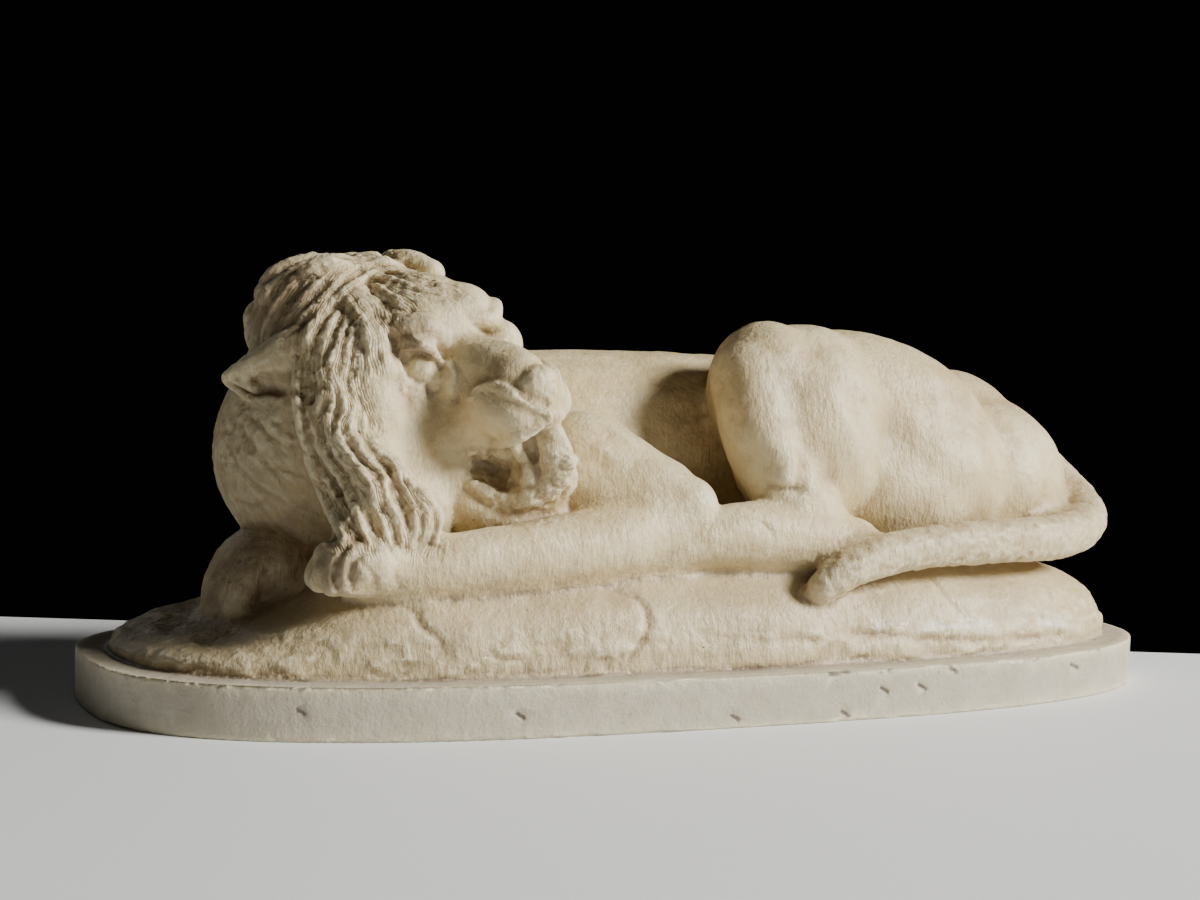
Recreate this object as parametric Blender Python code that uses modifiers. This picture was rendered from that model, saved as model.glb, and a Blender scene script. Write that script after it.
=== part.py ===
"""Reclining lion, carved with its rocky mound and oval plinth from one block of marble.

The lion lies along X with its chest towards -X and its near flank towards -Y. Its head is
turned back over that flank, with the mouth open. +Z is up, and the plinth stands on Z = 0.
"""

import math

import bmesh
import bpy
import numpy as np
from mathutils import Euler, Matrix, Vector
from mathutils.bvhtree import BVHTree

# Driving sizes, in metres.
PLINTH_LENGTH = 0.360
PLINTH_WIDTH = 0.160
PLINTH_HEIGHT = 0.0155
PLINTH_SQUARENESS = 2.77  # 2 is an ellipse, and more is squarer
PLINTH_EDGE = 0.0008  # the plinth's eased upper edge
LEDGE = 0.009  # the bare rim of the plinth round the mound
MOUND_HEIGHT = 0.0305  # from the plinth's top to the ground the lion lies on
LION_LENGTH = 0.332  # from the near ear to the tail's outer bend

# The lion is set out in its own units: the length is 332 of them, so one is 1 mm at the real size.
# They are measured from a point on the mound's top, above the middle of the plinth.
UNIT = LION_LENGTH / 332.0
GROUND = PLINTH_HEIGHT + MOUND_HEIGHT
LION = Matrix.Translation((0.0, 0.0, GROUND)) @ Matrix.Scale(UNIT, 4)

# The head looks back over the flank: turned from +X, nodded down and tilted on its own axis.
HEAD_AT = (-88.7, 4.7, 71.0)
HEAD_TURN = -63.7
HEAD_NOD = 15.4
HEAD_TILT = 19.2
HEAD = (
    LION
    @ Matrix.Translation(HEAD_AT)
    @ Matrix.Rotation(math.radians(HEAD_TURN), 4, "Z")
    @ Matrix.Rotation(math.radians(HEAD_NOD), 4, "Y")
    @ Matrix.Rotation(math.radians(HEAD_TILT), 4, "X")
)

# How closely each skin follows the masses under it, and how often it is then rubbed down.
BODY_VOXEL = 0.0016
BODY_RUBS = 12
HEAD_VOXEL = 0.0009
HEAD_RUBS = 10
CARVING_VOXEL = 0.0011
CARVING_RUBS = 3
CARVING_TRIANGLES = 9300
FACE_MIDDLE = (-80, -25, 45)
RUFF_LOCK = 3.2  # a lock's half thickness in the ruff
CROWN_LOCK = 3.4  # over the crown
MANE_LOCK = 4.2  # and down the far shoulder
LOCK_WAVES = 1.4
LOCK_SWAY = 1.2
PLINTH_CORNERS = 96


def unit_ball():
    """A round ball of radius 1, from which every rounded mass is made."""
    clay = bmesh.new()
    bmesh.ops.create_uvsphere(clay, u_segments=28, v_segments=18, radius=1.0)
    mesh = bpy.data.meshes.new("ball")
    clay.to_mesh(mesh)
    clay.free()
    return mesh


def ellipsoid(clay, frame, centre, radii, turn=(0.0, 0.0, 0.0)):
    """Adds one rounded mass to the clay, in the units of the frame it is placed in."""
    spin = Euler([math.radians(angle) for angle in turn]).to_matrix().to_4x4()
    mesh = BALL.copy()
    mesh.transform(frame @ Matrix.Translation(centre) @ spin @ Matrix.Diagonal((*radii, 1.0)))
    clay.from_mesh(mesh)
    bpy.data.meshes.remove(mesh)


def smooth_path(points, steps=8):
    """Points on a Catmull-Rom curve through the given ones, with their radii."""
    p = np.array(points, float)
    p = np.vstack([2 * p[0] - p[1], p, 2 * p[-1] - p[-2]])
    t = np.linspace(0.0, 1.0, steps, endpoint=False)[:, None]
    runs = []
    for a, b, c, d in zip(p[:-3], p[1:-2], p[2:-1], p[3:]):
        runs.append(
            0.5 * (2 * b + (c - a) * t + (2 * a - 5 * b + 4 * c - d) * t**2 + (3 * b - a - 3 * c + d) * t**3)
        )
    return np.vstack(runs + [p[-2][None]])


def limb(clay, frame, points, steps=8):
    """Adds a tapering round limb through points of (x, y, z, radius), with round ends."""
    path = smooth_path(points, steps)
    curve = bpy.data.curves.new("limb", "CURVE")
    curve.dimensions = "3D"
    curve.bevel_depth = 1.0
    curve.bevel_resolution = 8
    curve.use_fill_caps = True
    spline = curve.splines.new("POLY")
    spline.points.add(len(path) - 1)
    for point, (x, y, z, radius) in zip(spline.points, path):
        point.co = (x, y, z, 1.0)
        point.radius = radius
    holder = bpy.data.objects.new("limb", curve)
    mesh = holder.to_mesh()
    mesh.transform(frame)
    clay.from_mesh(mesh)
    holder.to_mesh_clear()
    bpy.data.objects.remove(holder)
    bpy.data.curves.remove(curve)
    for x, y, z, radius in (path[0], path[-1]):
        ellipsoid(clay, frame, (x, y, z), (radius,) * 3)


def in_scene(name, mesh):
    """A new object for the mesh, linked to the scene so that its modifiers can run."""
    holder = bpy.data.objects.new(name, mesh)
    bpy.context.scene.collection.objects.link(holder)
    return holder


def shaped(holder):
    """The object's mesh as its modifiers leave it; the object itself is taken away."""
    graph = bpy.context.evaluated_depsgraph_get()
    mesh = bpy.data.meshes.new_from_object(holder.evaluated_get(graph))
    bpy.data.objects.remove(holder)
    return mesh


def fused(clay, voxel, smoothing):
    """The clay's masses run together into one skin, and softened where they meet."""
    mesh = bpy.data.meshes.new("clay")
    clay.to_mesh(mesh)
    clay.free()
    holder = in_scene("clay", mesh)
    remesh = holder.modifiers.new("one skin", "REMESH")
    remesh.mode = "VOXEL"
    remesh.voxel_size = voxel
    remesh.use_smooth_shade = True
    soften = holder.modifiers.new("soften", "SMOOTH")
    soften.factor = 0.5
    soften.iterations = smoothing
    return shaped(holder)


def mound(clay):
    """The rocky ground: an oval dome with steep sides, lower in front of the lion's chest."""
    length = PLINTH_LENGTH / 2 - LEDGE
    width = PLINTH_WIDTH / 2 - LEDGE
    power = 2.0 / PLINTH_SQUARENESS
    made = bmesh.ops.create_uvsphere(clay, u_segments=96, v_segments=40, radius=1.0)
    for vert in made["verts"]:
        x, y, z = vert.co
        flat = math.hypot(x, y)
        if flat > 1e-6:
            x, y = (math.copysign(abs(v / flat) ** power, v) * flat**0.46 for v in (x, y))
        rise = MOUND_HEIGHT * (1.0 - 0.62 / (1.0 + math.exp((x * 171.0 + 126.0) / 10.0)))
        z = math.copysign(abs(z) ** 0.76, z)
        height = rise * z if z > 0 else PLINTH_HEIGHT * 0.6 * z
        vert.co = (x * length, y * width, PLINTH_HEIGHT + height)


def torso(clay):
    """The trunk, the chest, the neck and the shoulders."""
    limb(
        clay, LION,
        [(-70, 16, 29, 30), (-35, 14, 29, 33), (5, 14, 29, 33.5), (45, 13, 31, 31), (92, 6, 34, 32)],
    )
    ellipsoid(clay, LION, (-30, 4, 22), (40, 34, 28))
    ellipsoid(clay, LION, (118, 0, 21), (36, 31, 33))
    ellipsoid(clay, LION, (88, 6, 42), (26, 20, 27))
    ellipsoid(clay, LION, (-105, 8, 30), (35, 32, 36))
    ellipsoid(clay, LION, (-103, 16, 48), (25, 28, 30))
    ellipsoid(clay, LION, (-102, -13, 38), (18, 24, 34))
    ellipsoid(clay, LION, (-80, 24, 48), (28, 28, 28))
    ellipsoid(clay, LION, (-88, -18, 18), (18, 24, 24))
    ellipsoid(clay, LION, (-64, -15, 14), (26, 24, 18))


def hindquarters(clay):
    """The near hind leg drawn up with its knee high and its shin upright, and the far one."""
    ellipsoid(clay, LION, (68, -18, 39.5), (50, 27, 31.5), (0, 10, -10))
    ellipsoid(clay, LION, (30, -27, 52), (19, 20, 22))
    limb(clay, LION, [(21, -33, 55, 13), (22, -40, 38, 13), (28, -46, 22, 12), (38, -49, 9, 11)])
    ellipsoid(clay, LION, (43, -34, 36), (28, 20, 31))
    ellipsoid(clay, LION, (45, -24, 57), (23, 18, 16))
    ellipsoid(clay, LION, (112, -4, 34), (30, 24, 25))
    limb(clay, LION, [(48, -54, 4, 9.5), (15, -53, 8, 10.5), (-5, -53, 7, 9), (-18, -53, 4, 7)])
    ellipsoid(clay, LION, (82, -26, 22), (42, 26, 30))
    ellipsoid(clay, LION, (118, -12, 20), (36, 31, 31))
    limb(clay, LION, [(98, 28, 36, 26), (60, 40, 36, 23), (32, 48, 33, 16)])
    limb(clay, LION, [(30, 50, 32, 14), (36, 54, 18, 12), (50, 56, 6, 10)])
    limb(clay, LION, [(52, 57, 3, 9.5), (15, 57, 3, 9), (-12, 56, 2, 8)])
    ellipsoid(clay, LION, (84, 34, 20), (40, 24, 28))


def tail(clay):
    """The tail, which hangs from the rump and comes forward along the near flank."""
    limb(
        clay, LION,
        [
            (134, 6, 36, 10), (151, 0, 29, 8.8), (159, -12, 18, 8.3), (156, -30, 9, 8), (134, -46, 5, 7.8),
            (103, -56, 5, 7.4), (70, -61, 4, 7), (48, -65, 1, 6.6), (36, -67, -3, 6), (30, -67, -6, 5),
        ],
    )


def forelegs(clay):
    """The forelegs, folded at the elbow and stretched ahead of the chest."""
    ellipsoid(clay, LION, (-60, -6, 28), (32, 23, 25))
    limb(clay, LION, [(-52, -18, 26, 17), (-36, -32, 22, 16), (-20, -41, 17, 13), (-12, -46, 15, 10.5)])
    limb(
        clay, LION,
        [(-17, -48, 9, 12), (-42, -51, 5, 11.5), (-72, -53, 2, 10), (-94, -52, 0, 9), (-108, -49, -1, 8.5)],
    )
    ellipsoid(clay, LION, (-58, 40, 22), (32, 20, 30))
    limb(clay, LION, [(-30, 50, 10, 13), (-70, 44, 5, 12), (-102, 22, 1, 12), (-112, 10, -1, 12)])
    paw(clay, (-104, -48, 1), -8, 1, 1.15)
    paw(clay, (-122, -3, -3), -4, -22, 1.32)


def paw(clay, centre, turn, nod, size):
    """A paw of four toes, lying ahead of its centre in the direction it is turned to."""
    spin = Euler((0.0, math.radians(nod), math.radians(turn))).to_matrix().to_4x4()
    place = LION @ Matrix.Translation(centre) @ spin @ Matrix.Scale(size, 4)
    ellipsoid(clay, place, (-4, 0, 0.5), (13, 12, 9.5))
    for toe in range(4):
        across = -9.9 + 6.6 * toe
        reach = 1.5 - across * across / 40
        limb(
            clay, place,
            [(-6, across * 0.8, 2, 4.6), (-12 - reach, across, 0.5, 4.6), (-16 - reach, across, -4, 3.6)],
        )


def skull(clay):
    """The head's broad planes: the brow, the muzzle, the cheeks, the open jaw and the throat."""
    ellipsoid(clay, HEAD, (0, 0, -6), (34, 23, 22))
    ellipsoid(clay, HEAD, (16, 0, 4), (21, 19, 14))
    ellipsoid(clay, HEAD, (25, 8, 8), (11, 11, 8))
    ellipsoid(clay, HEAD, (37, 14, -2), (7.5, 7, 8.5))
    limb(
        clay, HEAD,
        [(16, 0, -5, 13), (34, 0, -5, 11), (52, 0, -2.5, 11), (62, 0, -2.5, 9), (66, 0, -1.5, 6.5)],
    )
    ellipsoid(clay, HEAD, (54, 0, -8), (20, 12, 11))
    ellipsoid(clay, HEAD, (66.5, 0, 0), (5, 7, 6))
    ellipsoid(clay, HEAD, (48, 0, -23), (25, 9, 12))
    ellipsoid(clay, HEAD, (4, 0, -34), (28, 18, 24))
    ellipsoid(clay, HEAD, (66.5, 0, -31.5), (10.5, 10, 11.5))
    ellipsoid(clay, HEAD, (46, 0, -39), (26, 11, 8))
    limb(clay, HEAD, [(73, 2, -30, 6), (74, 1, -22, 5), (73, 0, -14, 3.5)])
    for side in (-1, 1):
        ellipsoid(clay, HEAD, (27, side * 12, 7), (8.5, 7.5, 5.5))
        ellipsoid(clay, HEAD, (37, side * 9.5, -7), (7, 5, 6))
        ellipsoid(clay, HEAD, (22, side * 13, -15), (12, 8, 9))
        ellipsoid(clay, HEAD, (57, side * 6.8, -8.5), (15, 8.4, 9))
        ellipsoid(clay, HEAD, (6, side * 12, -26), (26, 12, 26))
        for path in (
            [(14, 12, -14, 12), (30, 11.5, -18, 10.5), (44, 8.5, -17, 8.5), (54, 6.5, -12, 8)],
            [(8, 13, -28, 14), (26, 12, -28, 12), (40, 9, -28, 9), (48, 6.5, -27, 7)],
            [(8, 12, -40, 12), (28, 10.5, -40, 9.5), (44, 8, -40, 8), (60, 5, -37, 8)],
        ):
            limb(clay, HEAD, [(a, side * b, c, radius) for a, b, c, radius in path])
    limb(
        clay, LION,
        [(-95, -15, 46, 10), (-89, -18, 38, 11), (-82, -25, 24, 12), (-74, -30, 17, 12), (-62, -35, 12, 13),
         (-52, -36, 10, 12)],
    )


def near_face(clay):
    """The near side: eye, lids, brow, tear fold, whisker pad's fold, lips and mouth corner."""
    ellipsoid(clay, LION, (-87, -25, 56), (6.3, 6.3, 6.3))
    for path in (
        [(-96, -31, 58, 1.5), (-93, -28, 61, 1.9), (-90, -33, 62, 2.2), (-85, -32, 61, 2),
         (-82, -31, 57, 1.5)],
        [(-96, -31, 58, 1.5), (-92, -31, 53, 1.6), (-86, -29, 50, 1.7), (-83, -32, 53, 2),
         (-82, -31, 57, 1.5)],
        [(-98, -24, 66, 3), (-94, -25, 70, 4), (-88, -30, 70, 4.4), (-81, -30, 66, 3.6), (-79, -31, 62, 2.5)],
        [(-81, -33, 59, 2.6), (-80, -36, 55, 3.3), (-80, -34, 50, 2.6)],
        [(-78, -43, 49, 1.4), (-73, -50, 53, 1.8), (-68, -54, 50, 1.9), (-59, -57, 46, 1.5)],
        [(-78, -41, 44, 2), (-76, -40, 38, 2.4), (-68, -49, 37, 2.6), (-62, -56, 41, 2.3), (-58, -57, 44, 2)],
        [(-74, -36, 30, 2), (-75, -39, 25, 2.1), (-69, -43, 21, 2.2), (-63, -47, 22, 2.4), (-57, -52, 28, 2)],
    ):
        limb(clay, LION, path)


def far_face(clay):
    """The far side, turned to the lion's back: the same features, more plainly cut."""
    ellipsoid(clay, HEAD, (29.5, 13.2, -2.5), (6.8, 6.8, 6.6))
    for path in (
        [(38, 9, -4, 1.2), (35.5, 13, 2.5, 1.8), (31, 18, 3.5, 1.8), (24, 21.5, 0, 1.2)],
        [(38, 9, -5, 1.2), (36, 14.5, -8.5, 1.6), (31, 18.5, -7.5, 1.6), (24, 21.5, -1, 1.2)],
        [(33, 5, 9, 2.5), (36, 11, 7.5, 2.8), (32, 17, 8.5, 2.6), (25, 21, 6, 2)],
        [(48, 13, -6, 1.2), (54, 12.5, -2, 1.7), (63, 10, -0.5, 1.8), (70, 5.5, -4, 1.4)],
        [(72, 3, -9, 1.8), (66, 9, -13.5, 2.4), (58, 12, -16.5, 2.4), (51, 13, -18, 1.6)],
        [(50, 11, -22, 2.5), (49, 12, -30, 3.2), (54, 11.5, -36, 2.5)],
        [(71, 9, -27, 2.4), (62, 11.5, -34.5, 2.6), (52, 13, -36, 2)],
    ):
        limb(clay, HEAD, path)


def canines(clay):
    """The four broken canines, two from the upper jaw and two from the lower."""
    for side in (-1, 1):
        upper = side * 8.5
        lower = side * 7.5
        limb(clay, HEAD, [(64.5, upper, -14, 2.4), (66, upper, -19, 1.6), (66.5, upper, -22.5, 0.9)])
        limb(clay, HEAD, [(69.5, lower, -28, 2.5), (69, lower, -23.5, 1.7), (68, lower, -19.5, 0.9)])


def ears(clay):
    """The near ear laid back through the mane, open towards the front, and the far ear's stump."""
    limb(clay, LION, [(-106, -12, 61, 9), (-118, -8, 61, 8), (-129, -3, 57, 5), (-138, 1, 52, 2.4)])
    limb(clay, LION, [(-106, -16, 44, 7), (-118, -12, 44, 6), (-129, -6, 46, 4), (-138, 0, 51, 2.2)])
    ellipsoid(clay, LION, (-116, -2, 53), (18, 6, 12), (0, 0, -28))
    limb(clay, HEAD, [(-14, 18, 8, 5), (-8, 19.5, 9.5, 5), (0, 21, 8.5, 4.5)])


def lock(clay, path, radius, turn, skin=None):
    """One wavy lock of the mane along a path, drawn down onto the skin where one is given."""
    path = smooth_path(path, 6)
    down = np.linspace(0.0, 1.0, len(path))
    size = radius * (0.85 + 0.2 * np.sin(LOCK_WAVES * 3 * math.pi * down + turn))
    size[0] *= 0.6
    size[-1] *= 0.6
    rows = []
    for point, share, thick in zip(path, down, size):
        spot = Vector(point)
        if skin:
            spot, normal = skin.find_nearest(LION @ spot)[:2]
            spot = LION.inverted() @ (spot + normal * thick * 0.3 * UNIT)
        sway = LOCK_SWAY * math.sin(2 * math.pi * LOCK_WAVES * share + turn)
        rows.append((spot.x + sway, spot.y + 0.5 * sway, spot.z, thick))
    limb(clay, LION, rows, 2)


def fall(clay, skin, inner, outer, count, radius):
    """A fall of locks side by side, from the inner edge to the outer one."""
    inner, outer = np.array(inner, float), np.array(outer, float)
    for strand in range(count):
        share = (strand + 0.5) / count
        lock(clay, inner + (outer - inner) * share, radius, 2.4 * strand, skin)


def mane_masses(clay):
    """The hair under the locks: the round crest behind the crown, and the ruff down to the foreleg."""
    ellipsoid(clay, LION, (-110, 11, 62), (25, 26, 27))
    limb(
        clay, LION,
        [(-107, -4, 68, 6), (-112, -16, 56, 7), (-112, -22, 42, 9), (-106, -32, 28, 11), (-102, -42, 16, 10)],
    )
    limb(clay, LION, [(-108, -44, 20, 8), (-98, -47, 14, 9), (-98, -49, 4, 8)])


def mane_locks(clay, skin):
    """The ruff's own locks on the near side, and falls over the crown and the far shoulder."""
    for turn, path in enumerate((
        [(-113, -10, 73), (-120, -19, 60), (-123, -27, 45), (-121, -35, 29), (-117, -42, 16), (-114, -47, 7)],
        [(-110, -12, 72), (-115, -19, 63), (-118, -27, 50), (-119, -31, 37), (-115, -39, 24), (-111, -50, 9)],
        [(-108, -15, 70), (-113, -24, 60), (-114, -30, 50), (-114, -36, 37), (-109, -44, 26),
         (-106, -54, 12)],
        [(-112, -30, 50), (-110, -38, 40), (-106, -44, 30), (-103, -52, 20), (-102, -56, 8)],
        [(-107, -36, 40), (-102, -42, 31), (-98, -49, 24), (-95, -54, 16), (-96, -57, 7)],
        [(-101, -45, 28), (-96, -50, 21), (-92, -53, 15), (-92, -56, 8)],
    )):
        lock(clay, path, RUFF_LOCK, 2.4 * turn)
    fall(
        clay, skin,
        [(-84, 2, 88), (-98, 0, 88), (-112, 0, 82), (-122, 4, 72)],
        [(-80, 26, 86), (-96, 36, 80), (-112, 38, 68), (-120, 36, 52)],
        6, CROWN_LOCK,
    )
    fall(
        clay, skin,
        [(-112, 38, 74), (-114, 44, 54), (-112, 46, 34), (-106, 48, 16)],
        [(-72, 30, 76), (-58, 48, 62), (-50, 56, 42), (-48, 58, 24)],
        7, MANE_LOCK,
    )


def carved_skin():
    """The whole carving in one skin: the head and the body are worked apart, then joined."""
    clay = bmesh.new()
    skull(clay)
    head = fused(clay, HEAD_VOXEL, HEAD_RUBS)
    clay = bmesh.new()
    mound(clay)
    torso(clay)
    hindquarters(clay)
    tail(clay)
    forelegs(clay)
    mane_masses(clay)
    body = fused(clay, BODY_VOXEL, BODY_RUBS)
    clay = bmesh.new()
    clay.from_mesh(head)
    clay.from_mesh(body)
    skin = BVHTree.FromBMesh(clay)
    near_face(clay)
    far_face(clay)
    canines(clay)
    ears(clay)
    mane_locks(clay, skin)
    return fused(clay, CARVING_VOXEL, CARVING_RUBS)


def plinth():
    """The flat oval slab under the mound, with its upper edge eased."""
    clay = bmesh.new()
    bmesh.ops.create_cone(
        clay, cap_ends=True, segments=PLINTH_CORNERS, radius1=1.0, radius2=1.0, depth=PLINTH_HEIGHT,
        matrix=Matrix.Translation((0.0, 0.0, PLINTH_HEIGHT / 2)),
    )
    power = 2.0 / PLINTH_SQUARENESS
    for vert in clay.verts:
        x, y = (math.copysign(abs(v) ** power, v) for v in vert.co.xy)
        vert.co.xy = (x * PLINTH_LENGTH / 2, y * PLINTH_WIDTH / 2)
    rim = [e for e in clay.edges if all(v.co.z > PLINTH_HEIGHT / 2 for v in e.verts)]
    bmesh.ops.bevel(clay, geom=rim, offset=PLINTH_EDGE, segments=1, affect="EDGES")
    mesh = bpy.data.meshes.new("plinth")
    clay.to_mesh(mesh)
    clay.free()
    return mesh


def faceted(skin):
    """The carving with fewer, larger facets, kept finest round the head."""
    holder = in_scene("carving", skin)
    fine = holder.vertex_groups.new(name="coarse")
    middle = LION @ Vector(FACE_MIDDLE)
    for vert in skin.vertices:
        away = (vert.co - middle).length / UNIT
        fine.add([vert.index], min(1.0, max(0.3, (away - 45.0) / 50.0)), "REPLACE")
    fewer = holder.modifiers.new("fewer facets", "DECIMATE")
    fewer.ratio = CARVING_TRIANGLES / (2 * len(skin.polygons))
    fewer.vertex_group = "coarse"
    fewer.vertex_group_factor = 0.2
    fewer.use_collapse_triangulate = True
    return shaped(holder)


def marble():
    """Old white marble, gone creamy."""
    stone = bpy.data.materials.new("marble")
    stone.use_nodes = True
    shader = stone.node_tree.nodes["Principled BSDF"]
    shader.inputs["Base Color"].default_value = (0.76, 0.70, 0.58, 1.0)
    shader.inputs["Roughness"].default_value = 0.45
    return stone


BALL = unit_ball()


def main():
    """Carves the lion and its mound, and joins them to the plinth as one block."""
    for obj in list(bpy.data.objects):
        bpy.data.objects.remove(obj)
    lion = in_scene("lion_sculpture", faceted(carved_skin()))
    base = in_scene("plinth_block", plinth())
    join = lion.modifiers.new("one block", "BOOLEAN")
    join.operation = "UNION"
    join.solver = "EXACT"
    join.object = base
    block = shaped(lion)
    bpy.data.objects.remove(base)
    sculpture = bpy.data.objects.new("lion_sculpture", block)
    block.materials.clear()
    block.materials.append(marble())
    collection = bpy.data.collections.new("reclining_lion_sculpture")
    bpy.context.scene.collection.children.link(collection)
    collection.objects.link(sculpture)


main()
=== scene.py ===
"""A marble lion lying on its rocky mound and oval plinth, all carved from one block."""

import math

import bmesh
import bpy
import numpy as np
from mathutils import Euler, Matrix, Vector
from mathutils.bvhtree import BVHTree


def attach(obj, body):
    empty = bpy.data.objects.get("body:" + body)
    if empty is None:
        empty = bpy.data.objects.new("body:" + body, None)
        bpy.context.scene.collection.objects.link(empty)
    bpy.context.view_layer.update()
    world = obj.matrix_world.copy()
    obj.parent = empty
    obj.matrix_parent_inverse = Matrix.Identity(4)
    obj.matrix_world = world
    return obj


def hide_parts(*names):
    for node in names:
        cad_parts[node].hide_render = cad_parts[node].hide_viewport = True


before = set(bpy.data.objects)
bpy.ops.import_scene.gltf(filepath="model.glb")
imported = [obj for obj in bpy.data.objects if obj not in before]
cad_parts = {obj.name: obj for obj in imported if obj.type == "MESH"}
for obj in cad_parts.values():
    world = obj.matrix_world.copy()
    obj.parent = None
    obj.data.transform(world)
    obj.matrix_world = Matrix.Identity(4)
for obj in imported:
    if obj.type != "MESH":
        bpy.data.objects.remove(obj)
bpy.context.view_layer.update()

# Camera
# The photo was taken by hand from in front of the chest, from a little above the plinth.
# The camera stands 0.7 m off, turned 25 degrees round from the near flank.
PHOTO_WIDTH = 1200.0
PHOTO_MIDDLE = (600.0, 450.0)
CAMERA_TURN = math.radians(-25.0)
CAMERA_LIFT = math.radians(3.77)
CAMERA_ROLL = math.radians(1.78)
CAMERA_REACH = 0.6988
AIM = Vector((-0.0152, 0.0, 0.0763))
back = Vector((
    math.sin(CAMERA_TURN) * math.cos(CAMERA_LIFT),
    -math.cos(CAMERA_TURN) * math.cos(CAMERA_LIFT),
    math.sin(CAMERA_LIFT),
))
camera_data = bpy.data.cameras.new("photo_camera")
camera_data.sensor_width = 36.0
camera_data.lens = 64.8
camera_data.clip_start = 0.01
camera = bpy.data.objects.new("photo_camera", camera_data)
bpy.context.scene.collection.objects.link(camera)
upright = back.to_track_quat("Z", "Y").to_matrix().to_4x4()
roll = Matrix.Rotation(CAMERA_ROLL, 4, "Z")
camera_place = Matrix.Translation(AIM + back * CAMERA_REACH) @ upright @ roll
camera.matrix_world = camera_place
bpy.context.scene.camera = camera

# Table and light
# A pale matt table top that ends just behind the plinth, in a dark room.
# One soft lamp stands to the right and in front. Two weak ones, above and behind, lift the shadows.
TABLE_BACK = 0.098
TABLE_REACH = 2.0
LIT_HEIGHT = 0.06
table_clay = bmesh.new()
for x, y in (
    (-TABLE_REACH, -TABLE_REACH), (TABLE_REACH, -TABLE_REACH),
    (TABLE_REACH, TABLE_BACK), (-TABLE_REACH, TABLE_BACK),
):
    table_clay.verts.new((x, y, 0.0))
table_clay.faces.new(table_clay.verts)
table_mesh = bpy.data.meshes.new("table")
table_clay.to_mesh(table_mesh)
table_clay.free()
table = bpy.data.objects.new("table", table_mesh)
table.matrix_world = Matrix.Rotation(CAMERA_TURN, 4, "Z")
bpy.context.scene.collection.objects.link(table)
paper = bpy.data.materials.new("table_paper")
paper.use_nodes = True
paper_shader = paper.node_tree.nodes["Principled BSDF"]
paper_shader.inputs["Base Color"].default_value = (0.84, 0.855, 0.86, 1.0)
paper_shader.inputs["Roughness"].default_value = 0.6
table_mesh.materials.append(paper)


def lamp(name, place, watts, size, tint):
    """A square soft lamp that faces the lion."""
    light = bpy.data.lights.new(name, "AREA")
    light.energy = watts
    light.size = size
    light.color = tint
    holder = bpy.data.objects.new(name, light)
    holder.location = place
    way = Vector(place) - Vector((0.0, 0.0, LIT_HEIGHT))
    holder.rotation_euler = way.to_track_quat("Z", "Y").to_euler()
    bpy.context.scene.collection.objects.link(holder)


lamp("window", (2.01, -1.69, 1.51), 202.0, 0.8, (1.0, 0.985, 0.95))
lamp("ceiling_bounce", (-0.1, -0.5, 1.3), 0.1, 0.9, (1.0, 0.97, 0.93))
lamp("back_wall", (-0.9, 2.8, 1.5), 4.0, 1.2, (0.95, 0.97, 1.0))
room = bpy.data.worlds.new("dark_room")
room.use_nodes = True
room.node_tree.nodes["Background"].inputs["Color"].default_value = (0.001, 0.001, 0.001, 1.0)
bpy.context.scene.world = room

# The clay
# The block is roughed out as a sculptor builds a clay model: balls and strips of clay are pressed
# together, rubbed down, and the finer forms laid on. Lengths on the lion are in its own units, 1 mm.
UNIT = 0.001
GROUND = 0.046
PLINTH_TOP = 0.0155
LION = Matrix.Translation((0.0, 0.0, GROUND)) @ Matrix.Scale(UNIT, 4)
HEAD = (
    LION
    @ Matrix.Translation((-88.7, 4.7, 71.0))
    @ Matrix.Rotation(math.radians(-63.7), 4, "Z")
    @ Matrix.Rotation(math.radians(15.4), 4, "Y")
    @ Matrix.Rotation(math.radians(19.2), 4, "X")
)


def unit_ball():
    """A ball of clay of radius 1."""
    clay = bmesh.new()
    bmesh.ops.create_uvsphere(clay, u_segments=28, v_segments=18, radius=1.0)
    mesh = bpy.data.meshes.new("ball")
    clay.to_mesh(mesh)
    clay.free()
    return mesh


BALL = unit_ball()


def lump(clay, place, centre, radii, turn=(0.0, 0.0, 0.0)):
    """Presses one rounded lump into the clay."""
    spin = Euler([math.radians(angle) for angle in turn]).to_matrix().to_4x4()
    mesh = BALL.copy()
    mesh.transform(place @ Matrix.Translation(centre) @ spin @ Matrix.Diagonal((*radii, 1.0)))
    clay.from_mesh(mesh)
    bpy.data.meshes.remove(mesh)


def smooth_path(rows, steps):
    """Rows on a Catmull-Rom curve through the given rows."""
    p = np.array(rows, float)
    p = np.vstack([2 * p[0] - p[1], p, 2 * p[-1] - p[-2]])
    t = np.linspace(0.0, 1.0, steps, endpoint=False)[:, None]
    runs = [
        0.5 * (2 * b + (c - a) * t + (2 * a - 5 * b + 4 * c - d) * t**2 + (3 * b - a - 3 * c + d) * t**3)
        for a, b, c, d in zip(p[:-3], p[1:-2], p[2:-1], p[3:])
    ]
    return np.vstack(runs + [p[-2][None]])


def strip(clay, place, rows, steps=6, sides=3):
    """Rolls a tapering round strip of clay through rows of (x, y, z, radius)."""
    path = smooth_path(rows, steps)
    curve = bpy.data.curves.new("strip", "CURVE")
    curve.dimensions = "3D"
    curve.bevel_depth = 1.0
    curve.bevel_resolution = sides
    curve.use_fill_caps = True
    spline = curve.splines.new("POLY")
    spline.points.add(len(path) - 1)
    for point, (x, y, z, radius) in zip(spline.points, path):
        point.co = (x, y, z, 1.0)
        point.radius = radius
    holder = bpy.data.objects.new("strip", curve)
    mesh = holder.to_mesh()
    mesh.transform(place)
    clay.from_mesh(mesh)
    holder.to_mesh_clear()
    bpy.data.objects.remove(holder)
    bpy.data.curves.remove(curve)
    for x, y, z, radius in (path[0], path[-1]):
        lump(clay, place, (x, y, z), (radius,) * 3)


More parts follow.
